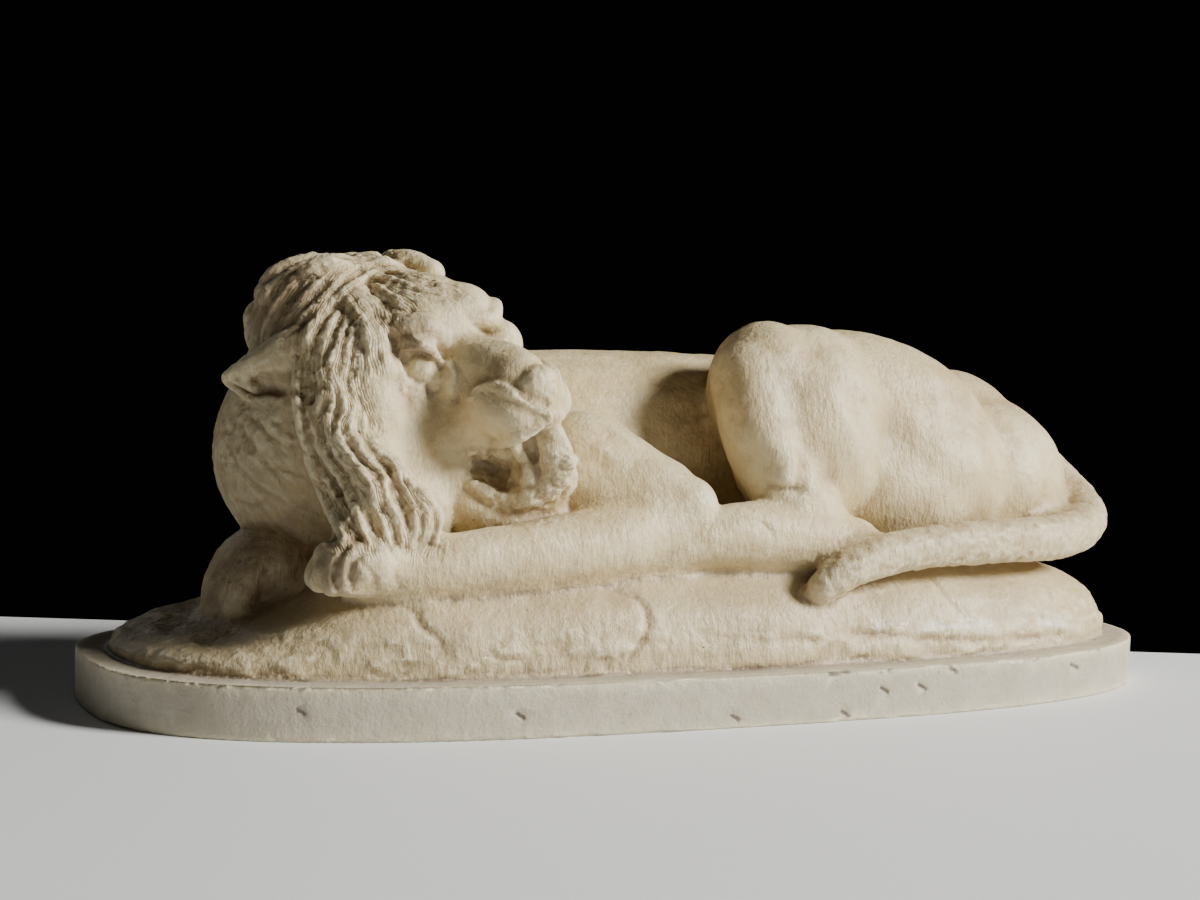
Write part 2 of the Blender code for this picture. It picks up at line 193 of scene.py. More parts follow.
def shaped(mesh, *steps):
    """The mesh after a list of (modifier type, settings)."""
    holder = bpy.data.objects.new("holder", mesh)
    bpy.context.scene.collection.objects.link(holder)
    for kind, settings in steps:
        modifier = holder.modifiers.new(kind.lower(), kind)
        for name, value in settings.items():
            setattr(modifier, name, value)
    graph = bpy.context.evaluated_depsgraph_get()
    result = bpy.data.meshes.new_from_object(holder.evaluated_get(graph))
    bpy.data.objects.remove(holder)
    return result


def rubbed(clay, voxel, rubs):
    """The lumps run together into one skin, with the joins rubbed down."""
    mesh = bpy.data.meshes.new("skin")
    clay.to_mesh(mesh)
    clay.free()
    return shaped(
        mesh,
        ("REMESH", {"mode": "VOXEL", "voxel_size": voxel}),
        ("SMOOTH", {"factor": 0.5, "iterations": rubs}),
    )


# The head
# The lion turns its head back over its near flank, tilted, with the mouth half open.
# It is roughed out apart from the body, so that its broad planes can be rubbed down more gently.
clay = bmesh.new()
lump(clay, HEAD, (0, 0, -6), (34, 23, 22))
lump(clay, HEAD, (16, 0, 4), (21, 19, 14))
lump(clay, HEAD, (25, 8, 8), (11, 11, 8))
lump(clay, HEAD, (37, 14, -2), (7.5, 7, 8.5))
strip(clay, HEAD, [(16, 0, -5, 13), (34, 0, -5, 11), (52, 0, -2.5, 11), (62, 0, -2.5, 9), (66, 0, -1.5, 6.5)])
lump(clay, HEAD, (54, 0, -8), (20, 12, 11))
lump(clay, HEAD, (66.5, 0, 0), (5, 7, 6))
lump(clay, HEAD, (48, 0, -23), (25, 9, 12))
lump(clay, HEAD, (4, 0, -34), (28, 18, 24))
lump(clay, HEAD, (66.5, 0, -31.5), (10.5, 10, 11.5))
lump(clay, HEAD, (46, 0, -39), (26, 11, 8))
strip(clay, HEAD, [(73, 2, -30, 6), (74, 1, -22, 5), (73, 0, -14, 3.5)])
for side in (-1, 1):
    lump(clay, HEAD, (27, side * 12, 7), (8.5, 7.5, 5.5))
    lump(clay, HEAD, (37, side * 9.5, -7), (7, 5, 6))
    lump(clay, HEAD, (22, side * 13, -15), (12, 8, 9))
    lump(clay, HEAD, (57, side * 6.8, -8.5), (15, 8.4, 9))
    lump(clay, HEAD, (6, side * 12, -26), (26, 12, 26))
    for rows in (
        [(14, 12, -14, 12), (30, 11.5, -18, 10.5), (44, 8.5, -17, 8.5), (54, 6.5, -12, 8)],
        [(8, 13, -28, 14), (26, 12, -28, 12), (40, 9, -28, 9), (48, 6.5, -27, 7)],
        [(8, 12, -40, 12), (28, 10.5, -40, 9.5), (44, 8, -40, 8), (60, 5, -37, 8)],
    ):
        strip(clay, HEAD, [(a, side * b, c, radius) for a, b, c, radius in rows])
strip(
    clay, LION,
    [(-95, -15, 46, 10), (-89, -18, 38, 11), (-82, -25, 24, 12), (-74, -30, 17, 12), (-62, -35, 12, 13),
     (-52, -36, 10, 12)],
)
head = rubbed(clay, 0.0009, 10)

# The mound
# The rocky ground, an oval dome with steep sides that is lower in front of the lion's chest.
# It is cut from the same block as the lion and the plinth.
PLINTH_LENGTH = 0.360
PLINTH_WIDTH = 0.160
SQUARENESS = 2.77
LEDGE = 0.009
MOUND_HEIGHT = 0.0305
clay = bmesh.new()
made = bmesh.ops.create_uvsphere(clay, u_segments=160, v_segments=64, radius=1.0)
for vert in made["verts"]:
    x, y, z = vert.co
    flat = math.hypot(x, y)
    if flat > 1e-6:
        x, y = (math.copysign(abs(v / flat) ** (2.0 / SQUARENESS), v) * flat**0.46 for v in (x, y))
    rise = MOUND_HEIGHT * (1.0 - 0.62 / (1.0 + math.exp((x * 171.0 + 126.0) / 10.0)))
    z = math.copysign(abs(z) ** 0.76, z)
    height = rise * z if z > 0 else PLINTH_TOP * 0.6 * z
    vert.co = (x * (PLINTH_LENGTH / 2 - LEDGE), y * (PLINTH_WIDTH / 2 - LEDGE), PLINTH_TOP + height)
rock = BVHTree.FromBMesh(clay)

# The body
# The trunk, with the hind legs drawn up, the forelegs folded and stretched ahead, and the tail
# coming forward along the near flank. The mane's own mass is part of it.
def paw(clay, centre, turn, nod, size):
    """Four toes lying ahead of the centre, in the direction the paw is turned to."""
    spin = Euler((0.0, math.radians(nod), math.radians(turn))).to_matrix().to_4x4()
    place = LION @ Matrix.Translation(centre) @ spin @ Matrix.Scale(size, 4)
    lump(clay, place, (-4, 0, 0.5), (13, 12, 9.5))
    for toe in range(4):
        across = -9.9 + 6.6 * toe
        reach = 1.5 - across * across / 40
        strip(
            clay, place,
            [(-6, across * 0.8, 2, 4.6), (-12 - reach, across, 0.5, 4.6), (-16 - reach, across, -4, 3.6)],
        )


strip(
    clay, LION,
    [(-70, 16, 29, 30), (-35, 14, 29, 33), (5, 14, 29, 33.5), (45, 13, 31, 31), (92, 6, 34, 32)],
    8, 8,
)
lump(clay, LION, (-30, 4, 22), (40, 34, 28))
lump(clay, LION, (118, 0, 21), (36, 31, 33))
lump(clay, LION, (88, 6, 42), (26, 20, 27))
lump(clay, LION, (-105, 8, 30), (35, 32, 36))
lump(clay, LION, (-103, 16, 48), (25, 28, 30))
lump(clay, LION, (-102, -13, 38), (18, 24, 34))
lump(clay, LION, (-80, 24, 48), (28, 28, 28))
lump(clay, LION, (-88, -18, 18), (18, 24, 24))
lump(clay, LION, (-64, -15, 14), (26, 24, 18))
lump(clay, LION, (68, -18, 39.5), (50, 27, 31.5), (0, 10, -10))
lump(clay, LION, (30, -27, 52), (19, 20, 22))
strip(clay, LION, [(21, -33, 55, 13), (22, -40, 38, 13), (28, -46, 22, 12), (38, -49, 9, 11)], 8, 6)
lump(clay, LION, (43, -34, 36), (28, 20, 31))
lump(clay, LION, (45, -24, 57), (23, 18, 16))
lump(clay, LION, (112, -4, 34), (30, 24, 25))
strip(clay, LION, [(48, -54, 4, 9.5), (15, -53, 8, 10.5), (-5, -53, 7, 9), (-18, -53, 4, 7)], 8, 6)
lump(clay, LION, (82, -26, 22), (42, 26, 30))
lump(clay, LION, (118, -12, 20), (36, 31, 31))
strip(clay, LION, [(98, 28, 36, 26), (60, 40, 36, 23), (32, 48, 33, 16)], 8, 8)
strip(clay, LION, [(30, 50, 32, 14), (36, 54, 18, 12), (50, 56, 6, 10)], 8, 6)
strip(clay, LION, [(52, 57, 3, 9.5), (15, 57, 3, 9), (-12, 56, 2, 8)], 8, 6)
lump(clay, LION, (84, 34, 20), (40, 24, 28))
strip(
    clay, LION,
    [(134, 6, 36, 10), (151, 0, 29, 8.8), (159, -12, 18, 8.3), (156, -30, 9, 8), (134, -46, 5, 7.8),
     (103, -56, 5, 7.4), (70, -61, 4, 7), (48, -65, 1, 6.6), (36, -67, -3, 6), (30, -67, -6, 5)],
    8, 6,
)
lump(clay, LION, (-60, -6, 28), (32, 23, 25))
strip(clay, LION, [(-52, -18, 26, 17), (-36, -32, 22, 16), (-20, -41, 17, 13), (-12, -46, 15, 10.5)], 8, 6)
strip(
    clay, LION,
    [(-17, -48, 9, 12), (-42, -51, 5, 11.5), (-72, -53, 2, 10), (-94, -52, 0, 9), (-108, -49, -1, 8.5)],
    8, 6,
)
lump(clay, LION, (-58, 40, 22), (32, 20, 30))
strip(clay, LION, [(-30, 50, 10, 13), (-70, 44, 5, 12), (-102, 22, 1, 12), (-112, 10, -1, 12)], 8, 6)
paw(clay, (-104, -48, 1), -8, 1, 1.15)
paw(clay, (-122, -3, -3), -4, -22, 1.32)
lump(clay, LION, (-106, 11, 62), (22, 26, 26.5))
strip(
    clay, LION,
    [(-107, -4, 68, 6), (-112, -16, 56, 7), (-112, -22, 42, 9), (-106, -32, 28, 11), (-102, -42, 16, 10)],
)
strip(clay, LION, [(-108, -44, 20, 8), (-98, -47, 14, 9), (-98, -49, 4, 8)])
body = rubbed(clay, 0.0014, 14)

# The face
# Eyes under heavy lids, a fold over each whisker pad, the lips and the four broken canines.
# A near feature has its place (across, down) in the 1200 x 900 photograph, and lies on the skin there.
class Skin:
    """A skin that features are laid on."""

    def __init__(self, *meshes):
        clay = bmesh.new()
        for mesh in meshes:
            clay.from_mesh(mesh)
        self.tree = BVHTree.FromBMesh(clay)
        clay.free()

    def seen(self, across, down, lift=0.0):
        """The skin's point, in the lion's units, that shows at a place in the photograph."""
        view = PHOTO_WIDTH * camera_data.lens / camera_data.sensor_width
        tilt = Vector(((across - PHOTO_MIDDLE[0]) / view, (PHOTO_MIDDLE[1] - down) / view, -1.0))
        way = (camera_place.to_3x3() @ tilt).normalized()
        point = self.tree.ray_cast(camera_place.translation, way)[0]
        if point is None:
            point = self.tree.find_nearest(camera_place.translation + way * CAMERA_REACH)[0]
        return LION.inverted() @ (point - way * lift * UNIT)

    def snug(self, spot, lift):
        """The skin's point nearest to a spot, both in the lion's units, raised off the skin."""
        point, normal = self.tree.find_nearest(LION @ Vector(spot))[:2]
        return LION.inverted() @ (point + normal * lift * UNIT)

    def laid(self, clay, rows, steps=4):
        """A strip laid along places (across, down, radius, lift)."""
        strip(clay, LION, [(*self.seen(u, v, lift), radius) for u, v, radius, lift in rows], steps)


skin = Skin(head, body)
clay = bmesh.new()
clay.from_mesh(head)
clay.from_mesh(body)
EYE = (420, 368)
EYE_LIFT = 2.6
EYEBALL = 7.0
lump(clay, LION, skin.seen(*EYE, EYE_LIFT), (EYEBALL,) * 3)

# near features, each a row of (across, down, radius, lift)
LIDS = (
    [(394, 362, 1.3, 0.5), (401, 350, 1.7, 1.4), (416, 344, 2.0, 2.2), (431, 349, 1.7, 2),
     (442, 366, 1.2, 1)],
    [(398, 364, 1.2, 0.5), (405, 381, 1.5, 0.6), (422, 390, 1.6, 0.8), (437, 383, 1.4, 0.8),
     (442, 367, 1.2, 1)],
)
BROW = (
    [(394, 326, 5, -4.2), (408, 330, 5, -3.6), (424, 328, 5, -3.6), (440, 336, 4, -3)],
    [(404, 342, 2.0, -0.4), (416, 340, 2.2, -0.2), (430, 344, 2.0, -0.4)],
)
TEAR_FOLDS = (
    [(450, 368, 2.6, -0.6), (455, 380, 3.6, -0.8), (450, 396, 3.4, -1.4), (440, 408, 3.0, -1.6)],
    [(402, 388, 2.0, -0.6), (418, 397, 2.6, -0.8), (434, 398, 2.6, -1.0)],
)
CHEEK = (
    [(410, 396, 5, -3.2), (418, 420, 7, -4.6), (430, 444, 7.5, -5.2), (450, 466, 6.5, -4.6)],
    [(438, 412, 6, -4.8), (446, 430, 7.5, -6.2), (456, 450, 7.5, -6.2), (464, 464, 6, -5.0)],
    [(466, 420, 5, -4.2), (472, 436, 5.5, -4.4), (488, 446, 5, -4.2)],
)
ELBOW = [
    (580, 466, 17, -17.8), (612, 480, 16, -15.6), (644, 494, 14, -12.2), (668, 502, 12.5, -10.0),
    (686, 508, 10, -7.2),
]
FOREHEAD = [(352, 296, 5, -3.8), (362, 320, 5.5, -4.0), (374, 346, 5.5, -4.2), (384, 372, 5, -4.0)]
PAD_FOLD = [
    (470, 398, 1.2, 0), (478, 388, 1.6, 0.4), (495, 386, 1.8, 0.6), (515, 395, 1.8, 0.6),
    (532, 405, 1.8, 0.4), (548, 412, 1.4, 0.2),
]
UPPER_LIP = [
    (482, 440, 2.4, -1.4), (498, 441, 2.4, -0.8), (516, 437, 2.2, 0.0), (536, 428, 1.8, 0.4),
    (550, 418, 1.4, 0.3),
]
LOWER_LIP = [
    (478, 455, 1.3, 0), (467, 466, 1.8, 0), (466, 480, 2.0, 0), (484, 492, 2.4, -0.2), (508, 500, 3.4, -0.6),
    (534, 494, 4.2, -1), (556, 480, 4.2, -1), (566, 462, 3.4, -0.8),
]
CHIN = [(546, 442, 3, -1.5), (553, 456, 4.4, -2), (552, 474, 5, -2.4), (540, 488, 4.4, -2)]
TEETH = (
    [(498, 452, 1.5, 0), (508, 455, 1.2, 0.2)],
    [(521, 446, 1.6, 0.2), (521, 455, 1.3, 0.4), (521, 462, 0.6, 0.4)],
    [(530, 478, 2.2, 0.4), (528, 466, 1.9, 0.6), (526, 456, 1.0, 0.6)],
)
for rows in (
    *LIDS, *BROW, *TEAR_FOLDS, *CHEEK, ELBOW, FOREHEAD, PAD_FOLD, UPPER_LIP, LOWER_LIP, CHIN, *TEETH,
):
    skin.laid(clay, rows)

# far features, placed on the head: eye, lids, brow, fold, lips and chin
FAR_EYE = (29.5, 13.2, -2.5)
FAR_EYEBALL = (6.8, 6.8, 6.6)
lump(clay, HEAD, FAR_EYE, FAR_EYEBALL)
for rows in (
    [(38, 9, -4, 1.2), (35.5, 13, 2.5, 1.8), (31, 18, 3.5, 1.8), (24, 21.5, 0, 1.2)],
    [(38, 9, -5, 1.2), (36, 14.5, -8.5, 1.6), (31, 18.5, -7.5, 1.6), (24, 21.5, -1, 1.2)],
    [(33, 5, 9, 2.5), (36, 11, 7.5, 2.8), (32, 17, 8.5, 2.6), (25, 21, 6, 2)],
    [(48, 13, -6, 1.2), (54, 12.5, -2, 1.7), (63, 10, -0.5, 1.8), (70, 5.5, -4, 1.4)],
    [(72, 3, -9, 1.8), (66, 9, -13.5, 2.4), (58, 12, -16.5, 2.4), (51, 13, -18, 1.6)],
    [(50, 11, -22, 2.5), (49, 12, -30, 3.2), (54, 11.5, -36, 2.5)],
    [(71, 9, -27, 2.4), (62, 11.5, -34.5, 2.6), (52, 13, -36, 2)],
):
    strip(clay, HEAD, rows)

# the canines of both sides, and how far they stand from the middle of the muzzle
UPPER_CANINES = 8.5
LOWER_CANINES = 7.5
for side in (-1, 1):
    upper = side * UPPER_CANINES
    lower = side * LOWER_CANINES
    strip(clay, HEAD, [(64.5, upper, -14, 2.4), (66, upper, -19, 1.6), (66.5, upper, -22.5, 0.7)])
    strip(clay, HEAD, [(69.5, lower, -28, 2.5), (69, lower, -23.5, 1.7), (68, lower, -19.5, 0.7)])

# The ears
# The near ear is laid back through the mane, open towards the front. The far one is a worn stump.
strip(clay, LION, [(-106, -12, 61, 9), (-118, -8, 61, 8), (-129, -3, 57, 5), (-138, 1, 52, 2.4)])
strip(clay, LION, [(-106, -16, 44, 7), (-118, -12, 44, 6), (-129, -6, 46, 4), (-138, 0, 51, 2.2)])
lump(clay, LION, (-116, -2, 53), (18, 6, 12), (0, 0, -28))
strip(clay, HEAD, [(-14, 18, 8, 5), (-8, 19.5, 9.5, 5), (0, 21, 8.5, 4.5)])

# The mane
# Thick wavy locks over a round crest. The ruff hangs from the brow to the near foreleg, and two falls
# of plainer locks cover the crown and the far shoulder.
# filling under the ruff's locks, and the near paw's toes: (across, down, radius, lift)
RUFF_FILL = (
    [(318, 318, 4, -2.0), (309, 360, 5, -2.6), (310, 405, 5.5, -2.8), (322, 450, 6, -3.2),
     (340, 496, 6, -3.4), (358, 532, 6, -3.6)],
    [(338, 326, 4, -2.6), (334, 370, 5, -3.0), (338, 420, 6, -3.2), (362, 466, 6.5, -3.4),
     (384, 505, 6.5, -3.6), (398, 534, 6, -4.0)],
    [(372, 450, 4, -2.4), (398, 482, 5, -2.8), (420, 510, 5.5, -3.2), (424, 532, 5, -3.4)],
)
NEAR_TOES = (
    [(330, 558, 5, -4.4), (348, 565, 7, -6.2), (372, 566, 8, -7.2)],
    [(326, 573, 4, -3.8), (344, 579, 5, -4.8), (366, 581, 5, -4.8)],
)
for rows in (*RUFF_FILL, *NEAR_TOES):
    skin.laid(clay, rows)
skin = Skin(rubbed(clay.copy(), 0.0012, 2))

# single locks, each a thickness and its places (across, down)
RUFF_LOCKS = (
    (2.2, [(322, 306), (308, 334), (303, 366), (300, 400), (306, 438), (315, 470), (328, 505), (346, 543)]),
    (1.5, [(330, 306), (314, 340), (312, 372), (308, 404), (316, 436), (322, 466), (338, 500), (354, 536)]),
    (1.8, [(338, 312), (326, 336), (320, 362), (324, 392), (316, 420), (324, 452), (346, 486), (360, 516),
           (368, 544)]),
    (1.4, [(346, 318), (338, 344), (330, 368), (334, 396), (328, 424), (338, 452), (356, 478), (368, 506),
           (378, 530)]),
    (1.6, [(352, 330), (346, 356), (340, 384), (344, 410), (338, 436), (352, 462), (370, 484), (376, 510),
           (388, 540)]),
    (1.3, [(352, 380), (354, 406), (350, 430), (364, 454), (382, 474), (386, 498), (398, 520), (402, 545)]),
    (1.7, [(360, 412), (366, 434), (378, 452), (395, 466), (402, 486), (413, 508), (414, 530), (410, 546)]),
    (1.3, [(372, 430), (384, 450), (402, 468), (410, 488), (424, 506), (428, 526), (422, 542)]),
    (1.8, [(392, 462), (410, 486), (428, 500), (437, 515), (436, 540)]),
)
CREST_LOCKS = (
    (1.6, [(352, 270), (330, 288), (312, 308), (300, 322)]),
    (1.4, [(338, 268), (316, 284), (298, 304), (284, 322)]),
    (1.6, [(322, 266), (298, 280), (280, 300), (268, 322), (262, 340)]),
    (1.4, [(306, 265), (284, 280), (268, 302), (258, 324), (252, 338)]),
    (1.5, [(292, 266), (272, 284), (262, 300), (256, 318)]),
    (1.4, [(372, 272), (352, 284), (334, 300), (322, 312)]),
)
FOREHEAD_LOCKS = (
    (1.1, [(366, 276), (392, 280), (418, 288), (440, 292)]),
    (1.1, [(356, 286), (372, 300), (384, 316), (388, 330)]),
    (1.0, [(372, 284), (392, 296), (406, 308)]),
    (1.0, [(346, 296), (360, 316), (368, 340), (370, 362)]),
    (1.1, [(388, 272), (412, 276), (438, 284), (452, 292)]),
)
LOCK_LIFT = 0.2
LOCK_ENDS = (0.6, 0.95, 1.0)
combed = []
for thick, lock in (*RUFF_LOCKS, *CREST_LOCKS, *FOREHEAD_LOCKS):
    rows = []
    for step, (u, v) in enumerate(lock):
        end = min(step, len(lock) - 1 - step)
        rows.append((*skin.seen(u, v, LOCK_LIFT), thick * LOCK_ENDS[min(end, 2)]))
    combed.append(smooth_path(rows, 6)[:, :3])
    strip(clay, LION, rows, 4)


LOCK_WAVES = 1.4
LOCK_SWAY = 1.2
CROWN_LOCKS = 8
SHOULDER_LOCKS = 9


def fall(inner, outer, count, radius):
    """Locks side by side, drawn down onto the skin between an inner edge and an outer one."""
    inner = np.array(inner, float)
    outer = np.array(outer, float)
    for strand in range(count):
        path = smooth_path(inner + (outer - inner) * (strand + 0.5) / count, 6)
        turn = 2.4 * strand
        rows = []
        for step, spot in enumerate(path):
            share = step / (len(path) - 1)
            thick = radius * (0.85 + 0.2 * math.sin(LOCK_WAVES * 3 * math.pi * share + turn))
            if step in (0, len(path) - 1):
                thick *= 0.6
            point = skin.snug(spot, thick * (0.2 if 2 < step < len(path) - 3 else -0.4))
            sway = LOCK_SWAY * math.sin(2 * math.pi * LOCK_WAVES * share + turn)
            rows.append((point.x + sway, point.y + 0.5 * sway, point.z, thick))
        combed.append(np.array(rows)[:, :3])
        strip(clay, LION, rows, 2)


fall(
    [(-84, 2, 88), (-98, 0, 88), (-112, 0, 82), (-122, 4, 72)],
    [(-80, 26, 86), (-96, 36, 80), (-112, 38, 68), (-120, 36, 52)],
    CROWN_LOCKS, 2.8,
)
fall(
    [(-112, 38, 74), (-114, 44, 54), (-112, 46, 34), (-106, 48, 16)],
    [(-72, 30, 76), (-58, 48, 62), (-50, 56, 42), (-48, 58, 24)],
    SHOULDER_LOCKS, 3.6,
)

# The plinth
# A flat oval slab, rubbed smooth, with its upper edge eased and a bare rim round the mound.
# It is one with the mound above it.
made = bmesh.ops.create_cone(
    clay, cap_ends=True, segments=192, radius1=1.0, radius2=1.0, depth=PLINTH_TOP,
    matrix=Matrix.Translation((0.0, 0.0, PLINTH_TOP / 2)),
)
for vert in made["verts"]:
    x, y = (math.copysign(abs(v) ** (2.0 / SQUARENESS), v) for v in vert.co.xy)
    vert.co.xy = (x * PLINTH_LENGTH / 2, y * PLINTH_WIDTH / 2)
FINE_VOXEL = 0.0007
block = rubbed(clay, FINE_VOXEL, 4)

# The carving
# What the chisel, the rasp and many years of knocks left on the skin: hair lines, creases,
# broken stone in the mouth and on the brow, ledges in the rock, and chips along the plinth.
count = len(block.vertices)
points = np.empty(count * 3)
block.vertices.foreach_get("co", points)
points = points.reshape(-1, 3) / UNIT
normals = np.empty(count * 3)
block.vertex_normals.foreach_get("vector", normals)
normals = normals.reshape(-1, 3)
edges = np.empty(len(block.edges) * 2, int)
block.edges.foreach_get("vertices", edges)
edges = edges.reshape(-1, 2)
skin = Skin(block)

# the lion's own zero lies this far above the table, in mm
FOOT = (0.0, 0.0, GROUND / UNIT)


def uneven(spots, size, seed):
    """Smooth random lumps of a given size in mm, between -1 and 1."""
    scaled = spots / size + seed * 19.7
    cell = np.floor(scaled).astype(np.int64)
    part = scaled - cell
    part = part * part * (3.0 - 2.0 * part)
    total = np.zeros(len(spots))
    for corner in np.ndindex(2, 2, 2):
        a, b, c = (cell + corner).T
        code = (a * 73856093 ^ b * 19349663 ^ c * 83492791) & 0xFFFFFFFF
        code = (code ^ code >> 15) * 2246822519 & 0xFFFFFFFF
        code = (code ^ code >> 13) * 3266489917 & 0xFFFFFFFF
        value = ((code ^ code >> 16) & 0xFFFF) / 32767.5 - 1.0
        total += value * np.prod(np.where(corner, part, 1.0 - part), axis=1)
    return total


def near_path(spots, path, reach):
    """Which spots lie within reach of a path, their distances, and the nearest steps on it."""
    low = path[:, :3].min(axis=0) - reach
    high = path[:, :3].max(axis=0) + reach
    chosen = np.flatnonzero(((spots > low) & (spots < high)).all(axis=1))
    away = np.linalg.norm(spots[chosen, None] - path[None, :, :3], axis=2)
    step = away.argmin(axis=1)
    away = away[np.arange(len(chosen)), step]
    kept = away < reach
    return chosen[kept], away[kept], step[kept]


def traced(rows, steps=24):
    """A path over the skin, in mm, through places (across, down, ...) in the photograph."""
    path = smooth_path([(*skin.seen(*row[:2]), *row[2:]) for row in rows], steps)
    path[:, 2] += FOOT[2]
    return path


def around(u, v, radius, edge):
    """How far each spot belongs to a round patch at a place in the photograph, from 0 to 1."""
    middle = np.array(skin.seen(u, v)) + FOOT
    return np.clip(edge - np.linalg.norm(points - middle, axis=1) / radius, 0.0, 1.0)


def eased(spots, u, v, radius, rounds):
    """The skin rubbed smooth round a place in the photograph."""
    middle = np.array(skin.seen(u, v)) + FOOT
    rub = np.clip(1.8 - 1.2 * np.linalg.norm(spots - middle, axis=1) / radius, 0.0, 1.0)
    inside = rub > 0.0
    own = (np.cumsum(inside) - 1)[edges[inside[edges].all(axis=1)]]
    patch = spots[inside]
    links = np.maximum(np.bincount(own.ravel(), minlength=len(patch)), 1)[:, None]
    for _ in range(rounds):
        total = np.zeros_like(patch)
        for axis in range(3):
            total[:, axis] += np.bincount(own[:, 0], patch[own[:, 1], axis], len(patch))
            total[:, axis] += np.bincount(own[:, 1], patch[own[:, 0], axis], len(patch))
        patch += 0.7 * rub[inside][:, None] * (total / links - patch)
    spots[inside] = patch


# the cheek and the elbow are rubbed smooth: (across, down, radius, rounds)
CHEEK_RUBS = ((434, 420, 6, 90), (440, 436, 8, 120), (446, 452, 8, 120), (428, 462, 9, 120))
ELBOW_RUBS = ((650, 470, 9, 120), (682, 498, 8, 60), (668, 516, 7, 40))
for rub_place in (*CHEEK_RUBS, *ELBOW_RUBS):
    eased(points, *rub_place)

# where the block is rock, slab or lion
ROCK_REACH = 0.004
depth = np.zeros(count)
on_rock = [rock.find_nearest(Vector(spot) * UNIT, ROCK_REACH)[3] or ROCK_REACH for spot in points]
on_rock = np.array(on_rock) / UNIT
rocky = np.clip(1.6 - on_rock, 0.0, 1.0) * np.clip((points[:, 2] - 15.8) / 1.5, 0.0, 1.0)
slab = np.clip((16.6 - points[:, 2]) / 0.8, 0.0, 1.0)
lion = np.clip(1.0 - rocky - slab, 0.0, 1.0)

# the mane: fine lines run along each lock, and the crest between them is combed too
HAIR_REACH = 7.0
HAIR_FADE = 4.5
HAIR_PITCH = 2.3
hair = np.zeros(count)
comb = np.zeros(count)
for lock in combed:
    path = lock + FOOT
    chosen, away, step = near_path(points, path, HAIR_REACH)
    along = np.gradient(path, axis=0)[step]
    along /= np.linalg.norm(along, axis=1)[:, None]
    across = np.cross(along, normals[chosen])
    across = ((points[chosen] - path[step]) * across).sum(axis=1)
    weight = np.clip(1.6 - away / HAIR_FADE, 0.0, 1.0)
    better = weight > hair[chosen]
    comb[chosen[better]] = across[better] + 0.5 * step[better] * 0.2
    hair[chosen] = np.maximum(hair[chosen], weight)
hair *= lion
wander = 0.9 * uneven(points, 5.0, 1)
lines = 0.16 * np.cos(2 * math.pi * (comb + wander) / HAIR_PITCH)
depth += hair * (lines + 0.45 * uneven(points, 2.8, 2))
depth += hair * 0.28 * uneven(points, 1.5, 17)

# creases and swellings: (across, down, half width, depth), a minus depth being a swelling
EAR_AND_NECK = (
    [(226, 384, 1.6, 1.6), (246, 391, 2.4, 3.4), (272, 388, 2.0, 3.0), (300, 392, 1.2, 1.6)],
    [(300, 352, 2.2, 1.2), (302, 392, 1.6, 1.4), (304, 426, 1.2, 1.2), (316, 458, 1.2, 1.2),
     (342, 492, 1.2, 1.0)],
    [(240, 424, 1.1, 0.7), (252, 446, 1.1, 0.8), (270, 468, 1.1, 0.8), (300, 492, 1.0, 0.5)],
    [(256, 420, 1.1, 0.8), (272, 438, 1.1, 0.8), (290, 446, 1.0, 0.7), (306, 452, 1.0, 0.6)],
    [(278, 424, 0.9, 0.6), (292, 436, 0.9, 0.6), (304, 441, 0.9, 0.5)],
    [(228, 446, 0.9, 0.5), (244, 474, 0.9, 0.6), (262, 492, 0.9, 0.6), (284, 502, 0.9, 0.4)],
    [(262, 452, 0.8, 0.4), (280, 468, 0.8, 0.5), (302, 476, 0.8, 0.4)],
    [(236, 500, 0.9, 0.4), (252, 506, 0.9, 0.5), (266, 500, 0.8, 0.4)],
    [(300, 278, 3.0, 0.7), (290, 300, 3.2, 1.0), (278, 322, 2.6, 0.9)],
    [(325, 280, 2.4, 0.6), (318, 300, 2.4, 0.8), (306, 322, 2.0, 0.7)],
)
FACE_CREASES = (
    [(382, 338, 2.4, 0.3), (392, 344, 2.2, 0.5), (398, 352, 1.8, 0.4)],
    [(400, 356, 0.8, 0.5), (416, 354, 0.9, 0.8), (432, 358, 0.8, 0.6), (440, 368, 0.7, 0.5)],
    [(404, 386, 0.8, 0.4), (422, 392, 0.8, 0.5), (438, 384, 0.8, 0.4)],
    [(470, 392, 1.0, 0.5), (490, 386, 1.0, 0.5), (512, 390, 1.0, 0.5)],
    [(520, 394, 1.2, 1.0), (534, 403, 1.4, 1.2), (546, 404, 1.0, 0.8)],
    [(505, 352, 5.0, 0.9), (486, 366, 5.0, 1.0), (472, 384, 4.0, 0.6)],
)
TOE_CREASES = (
    [(346, 546, 1.2, 0.9), (338, 558, 1.2, 1.2), (333, 574, 1.2, 1.2), (336, 588, 1.0, 0.8)],
    [(362, 552, 1.0, 0.7), (352, 564, 1.0, 0.9), (350, 578, 1.0, 0.9), (354, 590, 1.0, 0.7)],
    [(360, 560, 0.9, 0.4), (372, 574, 0.9, 0.5), (378, 590, 0.9, 0.4)],
    [(392, 566, 0.8, 0.3), (400, 588, 0.8, 0.4)],
    [(240, 560, 1.2, 0.8), (226, 584, 1.2, 0.9), (222, 600, 1.0, 0.8)],
    [(272, 556, 1.2, 0.8), (262, 580, 1.2, 0.9), (262, 594, 1.0, 0.8)],
    [(303, 545, 1.4, 0.8), (300, 570, 1.4, 1.0), (302, 590, 1.2, 0.8)],
)
